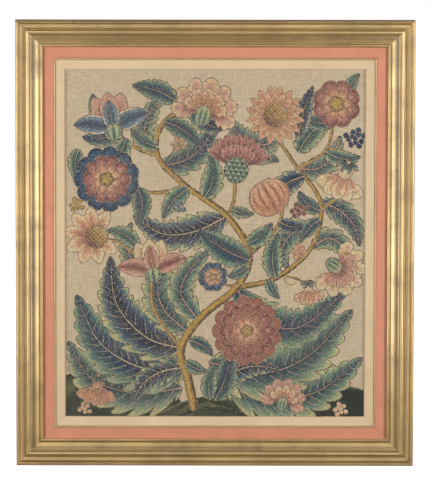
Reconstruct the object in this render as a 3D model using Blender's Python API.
"""A framed crewel embroidery panel: a worked cloth on its board, shown behind a cream slip,
a thin gilt fillet and a coral liner, in a mitred gilt moulding that hangs on a wall.

X runs to the right and Z up. The front faces -Y and the wall is the plane Y = 0.
The origin is on the wall plane, at the middle of the top rail's back, where the frame hangs.
"""

import math

import bmesh
import bpy
from mathutils import Vector

MM = 0.001

# Driving sizes. The sight is the part of the cloth that shows.
SIGHT_WIDTH = 542 * MM
SIGHT_HEIGHT = 628 * MM
MOULDING_WIDTH = 49 * MM
MOULDING_DEPTH = 30 * MM
LINER_SHOWS = 19 * MM
FILLET_WIDTH = 3.6 * MM
SLIP_WIDTH = 16.2 * MM

# What is let into the moulding or under the next piece, and the gap between pieces that touch.
GAP = 0.3 * MM
MITRE_GAP = GAP / math.sqrt(2)
LINER_HIDDEN = 6 * MM
SLIP_HIDDEN = 3 * MM

# The stack behind the moulding, each measured from the wall.
BOARD_BACK = 2 * MM
BOARD_THICKNESS = 3 * MM
CLOTH_THICKNESS = 2 * MM
CLOTH_HIDDEN = 43 * MM
CLOTH_BACK = BOARD_BACK + BOARD_THICKNESS + GAP
CLOTH_FRONT = CLOTH_BACK + CLOTH_THICKNESS
SLIP_BACK = CLOTH_FRONT + GAP
SLIP_INNER_FRONT = SLIP_BACK + 2.2 * MM
SLIP_OUTER_FRONT = SLIP_BACK + 5.2 * MM
SLIP_TONGUE = 1.2 * MM
LINER_BACK = SLIP_BACK + SLIP_TONGUE + GAP
LINER_FRONT = LINER_BACK + 5.3 * MM
REBATE_FLOOR = LINER_FRONT + GAP

# The moulding's rounds, from the outer edge to the cove, in the order that a cutter meets them.
# A flat bevel, a narrow quirk and the sight bead follow.
RIDGE_BASE = MOULDING_DEPTH - 2.8 * MM
BEVEL_END = 41.5 * MM
QUIRK_WIDTH = 1.2 * MM
QUIRK_FLOOR = LINER_FRONT + 2.8 * MM
SIGHT_BEAD_RISE = 2.2 * MM
BEVEL_FOOT = QUIRK_FLOOR + SIGHT_BEAD_RISE
MOULDING_ROUNDS = (
    # columns: centre inwards, half width, base forwards, rise, first and last angle, steps
    (3.0 * MM, 3.0 * MM, 16.5 * MM, 4.5 * MM, 180, 66, 7),
    (5.6 * MM, 1.4 * MM, 21.2 * MM, 1.5 * MM, 165, 40, 5),
    (12.3 * MM, 5.3 * MM, 22.8 * MM, 3.0 * MM, 170, 12, 10),
    (18.6 * MM, 1.0 * MM, 23.6 * MM, 1.6 * MM, 200, 90, 4),
    (23.2 * MM, 3.3 * MM, RIDGE_BASE, 2.8 * MM, 165, 5, 9),
    (34.5 * MM, 8.0 * MM, RIDGE_BASE, 4.6 * MM, 184, 262, 9),
)

# The cloth is a little uneven where it shows: soft cockles that die out under the slip.
COCKLE = 0.7 * MM
COCKLE_MARGIN = 60 * MM
CLOTH_COLUMNS = 32
CLOTH_ROWS = 36
COCKLE_WAVES = (
    # columns: waves across, waves up, phase in turns, share of the height
    (1.5, 0.8, 0.10, 0.40),
    (2.6, 1.9, 0.45, 0.25),
    (0.7, 3.1, 0.80, 0.20),
    (4.2, 0.5, 0.30, 0.15),
)

SIDES = ("top", "bottom", "left", "right")
ARC_STEPS = 7

COLOURS = {
    # columns: red, green, blue, roughness, metallic
    "gilt": (0.62, 0.44, 0.17, 0.38, 1.0),
    "coral_paint": (0.68, 0.27, 0.17, 0.75, 0.0),
    "cream_paint": (0.72, 0.57, 0.38, 0.70, 0.0),
    "worked_linen": (0.50, 0.42, 0.29, 0.95, 0.0),
    "backing_board": (0.42, 0.33, 0.22, 0.85, 0.0),
}


def material(name):
    """A plain finish in the colour of the real piece."""
    made = bpy.data.materials.get(name)
    if made is None:
        red, green, blue, roughness, metallic = COLOURS[name]
        made = bpy.data.materials.new(name)
        made.use_nodes = True
        shader = made.node_tree.nodes["Principled BSDF"]
        shader.inputs["Base Color"].default_value = (red, green, blue, 1)
        shader.inputs["Roughness"].default_value = roughness
        shader.inputs["Metallic"].default_value = metallic
        made.diffuse_color = (red, green, blue, 1)
    return made


def add_object(name, mesh, finish, parent):
    mesh.materials.append(material(finish))
    made = bpy.data.objects.new(name, mesh)
    bpy.context.scene.collection.objects.link(made)
    made.parent = parent
    return made


def arc(centre, radii, start, end, steps=ARC_STEPS):
    """Points of an elliptical arc, from one angle to another in degrees."""
    turns = [math.radians(start + (end - start) * i / steps) for i in range(steps + 1)]
    return [(centre[0] + radii[0] * math.cos(a), centre[1] + radii[1] * math.sin(a)) for a in turns]


# A section is a closed outline of points (inwards from the outer edge, forwards from the wall).


def moulding_section():
    """From the outer edge: a slope, a reed, the rope band, a fine reed, the ridge bead, a cove,
    a flat bevel, a quirk and the sight bead.
    """
    outline = [(0, 0)]
    for across, radius, base, rise, first, last, steps in MOULDING_ROUNDS:
        outline += arc((across, base), (radius, rise), first, last, steps)
    outline += [(BEVEL_END, BEVEL_FOOT), (BEVEL_END, QUIRK_FLOOR), (BEVEL_END + QUIRK_WIDTH, QUIRK_FLOOR)]
    sight_radius = (MOULDING_WIDTH - BEVEL_END - QUIRK_WIDTH) / 2
    sight_centre = (MOULDING_WIDTH - sight_radius, QUIRK_FLOOR)
    outline += arc(sight_centre, (sight_radius, SIGHT_BEAD_RISE), 175, 0)
    rebate_wall = MOULDING_WIDTH - LINER_HIDDEN - GAP
    outline += [(MOULDING_WIDTH, REBATE_FLOOR), (rebate_wall, REBATE_FLOOR), (rebate_wall, 0)]
    return outline


def liner_section():
    """A flat coral board, eased along its inner front edge. Its back lies over the slip's tongue."""
    width = LINER_HIDDEN + LINER_SHOWS
    ease = 0.6 * MM
    return [
        (0, LINER_BACK),
        (0, LINER_FRONT),
        (width - ease, LINER_FRONT),
        (width, LINER_FRONT - ease),
        (width, LINER_BACK),
    ]


def fillet_section():
    """A thin half-round gilt bead that stands a little proud of the liner."""
    start = LINER_HIDDEN + LINER_SHOWS + GAP
    radius = (FILLET_WIDTH - 2 * GAP) / 2
    sunk = 0.6 * MM
    rise = 1.5 * MM
    outline = [(start, LINER_BACK)]
    outline += arc((start + radius, LINER_FRONT - sunk), (radius, rise), 180, 0, 8)
    outline += [(start + 2 * radius, LINER_BACK)]
    return outline


def slip_section():
    """A cream slip whose face falls from the fillet to the cloth, with a rounded inner nose."""
    start = LINER_HIDDEN + LINER_SHOWS + FILLET_WIDTH
    end = start + SLIP_WIDTH
    nose = 1.8 * MM
    ease_width = 1.2 * MM
    ease_rise = 0.8 * MM
    shoulder = SLIP_OUTER_FRONT - ease_rise
    outline = [(start - SLIP_HIDDEN, SLIP_BACK), (start - SLIP_HIDDEN, SLIP_BACK + SLIP_TONGUE)]
    outline += [(start, SLIP_BACK + SLIP_TONGUE), (start, shoulder)]
    outline += arc((start + ease_width, shoulder), (ease_width, ease_rise), 160, 90, 4)
    outline += arc((end - nose, SLIP_INNER_FRONT - nose), (nose, nose), 80, 0, 6)
    outline += [(end, SLIP_BACK)]
    return outline


def mitred_rail(name, section, outer_width, outer_height, side, finish, parent):
    """One side of a rectangle with this section, cut at 45 degrees at both ends.

    outer_width and outer_height are those of the rectangle that the section's zero edge runs round.
    """
    along, inward, half_length, half_reach = {
        "top": (Vector((1, 0, 0)), Vector((0, 0, -1)), outer_width / 2, outer_height / 2),
        "bottom": (Vector((1, 0, 0)), Vector((0, 0, 1)), outer_width / 2, outer_height / 2),
        "left": (Vector((0, 0, 1)), Vector((1, 0, 0)), outer_height / 2, outer_width / 2),
        "right": (Vector((0, 0, 1)), Vector((-1, 0, 0)), outer_height / 2, outer_width / 2),
    }[side]
    forward = Vector((0, -1, 0))
    work = bmesh.new()
    ends = []
    for sign in (-1, 1):
        loop = []
        for inset, front in section:
            reach = sign * (half_length - inset - MITRE_GAP)
            loop.append(work.verts.new(along * reach - inward * (half_reach - inset) + forward * front))
        ends.append(loop)
        work.faces.new(loop)
    count = len(section)
    for i in range(count):
        j = (i + 1) % count
        work.faces.new((ends[0][i], ends[0][j], ends[1][j], ends[1][i]))
    bmesh.ops.recalc_face_normals(work, faces=work.faces)
    mesh = bpy.data.meshes.new(name)
    work.to_mesh(mesh)
    work.free()
    mesh.shade_smooth()
    mesh.set_sharp_from_angle(angle=math.radians(35))
    return add_object(name, mesh, finish, parent)


def mitred_frame(prefix, section, outer_width, outer_height, finish, parent):
    for side in SIDES:
        mitred_rail(f"{prefix}_{side}", section, outer_width, outer_height, side, finish, parent)


def cockle(x, z):
    """How far the cloth stands forward of flat at this place in the sight."""
    edge = min(SIGHT_WIDTH / 2 - abs(x), SIGHT_HEIGHT / 2 - abs(z))
    fade = min(max(edge / COCKLE_MARGIN, 0), 1)
    fade = fade * fade * (3 - 2 * fade)
    height = 0
    for across, up, phase, share in COCKLE_WAVES:
        turn = across * x / SIGHT_WIDTH + up * z / SIGHT_HEIGHT + phase
        height += share * (0.5 + 0.5 * math.sin(2 * math.pi * turn))
    return COCKLE * fade * height


def cloth_sheet(parent):
    """The worked cloth: one closed sheet with the same soft cockles on its front and back."""
    width = SIGHT_WIDTH + 2 * CLOTH_HIDDEN
    height = SIGHT_HEIGHT + 2 * CLOTH_HIDDEN
    work = bmesh.new()
    layers = []
    for base in (CLOTH_FRONT, CLOTH_BACK):
        layer = []
        for row in range(CLOTH_ROWS + 1):
            z = height * (row / CLOTH_ROWS - 0.5)
            xs = [width * (column / CLOTH_COLUMNS - 0.5) for column in range(CLOTH_COLUMNS + 1)]
            layer.append([work.verts.new((x, -base - cockle(x, z), z)) for x in xs])
        layers.append(layer)
    for layer in layers:
        for low, high in zip(layer, layer[1:]):
            for i in range(CLOTH_COLUMNS):
                work.faces.new((low[i], low[i + 1], high[i + 1], high[i]))
    rims = []
    for layer in layers:
        right = [line[-1] for line in layer[1:-1]]
        left = [line[0] for line in reversed(layer[1:-1])]
        rims.append(layer[0] + right + layer[-1][::-1] + left)
    for i in range(len(rims[0])):
        j = (i + 1) % len(rims[0])
        work.faces.new((rims[0][i], rims[0][j], rims[1][j], rims[1][i]))
    bmesh.ops.recalc_face_normals(work, faces=work.faces)
    mesh = bpy.data.meshes.new("embroidered_cloth")
    work.to_mesh(mesh)
    work.free()
    mesh.shade_smooth()
    mesh.set_sharp_from_angle(angle=math.radians(35))
    return add_object("embroidered_cloth", mesh, "worked_linen", parent)


def backing_board(width, height, parent):
    """The plain board that the cloth is laced over, let into the moulding's rebate."""
    work = bmesh.new()
    bmesh.ops.create_cube(work, size=1)
    bmesh.ops.scale(work, vec=(width, BOARD_THICKNESS, height), verts=work.verts)
    middle = -(BOARD_BACK + BOARD_THICKNESS / 2)
    bmesh.ops.translate(work, vec=(0, middle, 0), verts=work.verts)
    mesh = bpy.data.meshes.new("backing_board")
    work.to_mesh(mesh)
    work.free()
    return add_object("backing_board", mesh, "backing_board", parent)


def build():
    for old in list(bpy.data.objects):
        bpy.data.objects.remove(old)
    inset = MOULDING_WIDTH + LINER_SHOWS + FILLET_WIDTH + SLIP_WIDTH
    outer_width = SIGHT_WIDTH + 2 * inset
    outer_height = SIGHT_HEIGHT + 2 * inset
    rebate_width = outer_width - 2 * (MOULDING_WIDTH - LINER_HIDDEN)
    rebate_height = outer_height - 2 * (MOULDING_WIDTH - LINER_HIDDEN)
    # Everything is modelled round the middle of the picture, then hung from the top rail's back.
    hanger = bpy.data.objects.new("hanging_point", None)
    bpy.context.scene.collection.objects.link(hanger)
    solid_rail = MOULDING_WIDTH - LINER_HIDDEN - GAP
    hanger.location = (0, 0, -(outer_height - solid_rail) / 2)
    mitred_frame("moulding", moulding_section(), outer_width, outer_height, "gilt", hanger)
    mitred_frame("liner", liner_section(), rebate_width, rebate_height, "coral_paint", hanger)
    mitred_frame("fillet", fillet_section(), rebate_width, rebate_height, "gilt", hanger)
    mitred_frame("slip", slip_section(), rebate_width, rebate_height, "cream_paint", hanger)
    cloth_sheet(hanger)
    backing_board(rebate_width - 2 * GAP, rebate_height - 2 * GAP, hanger)


build()
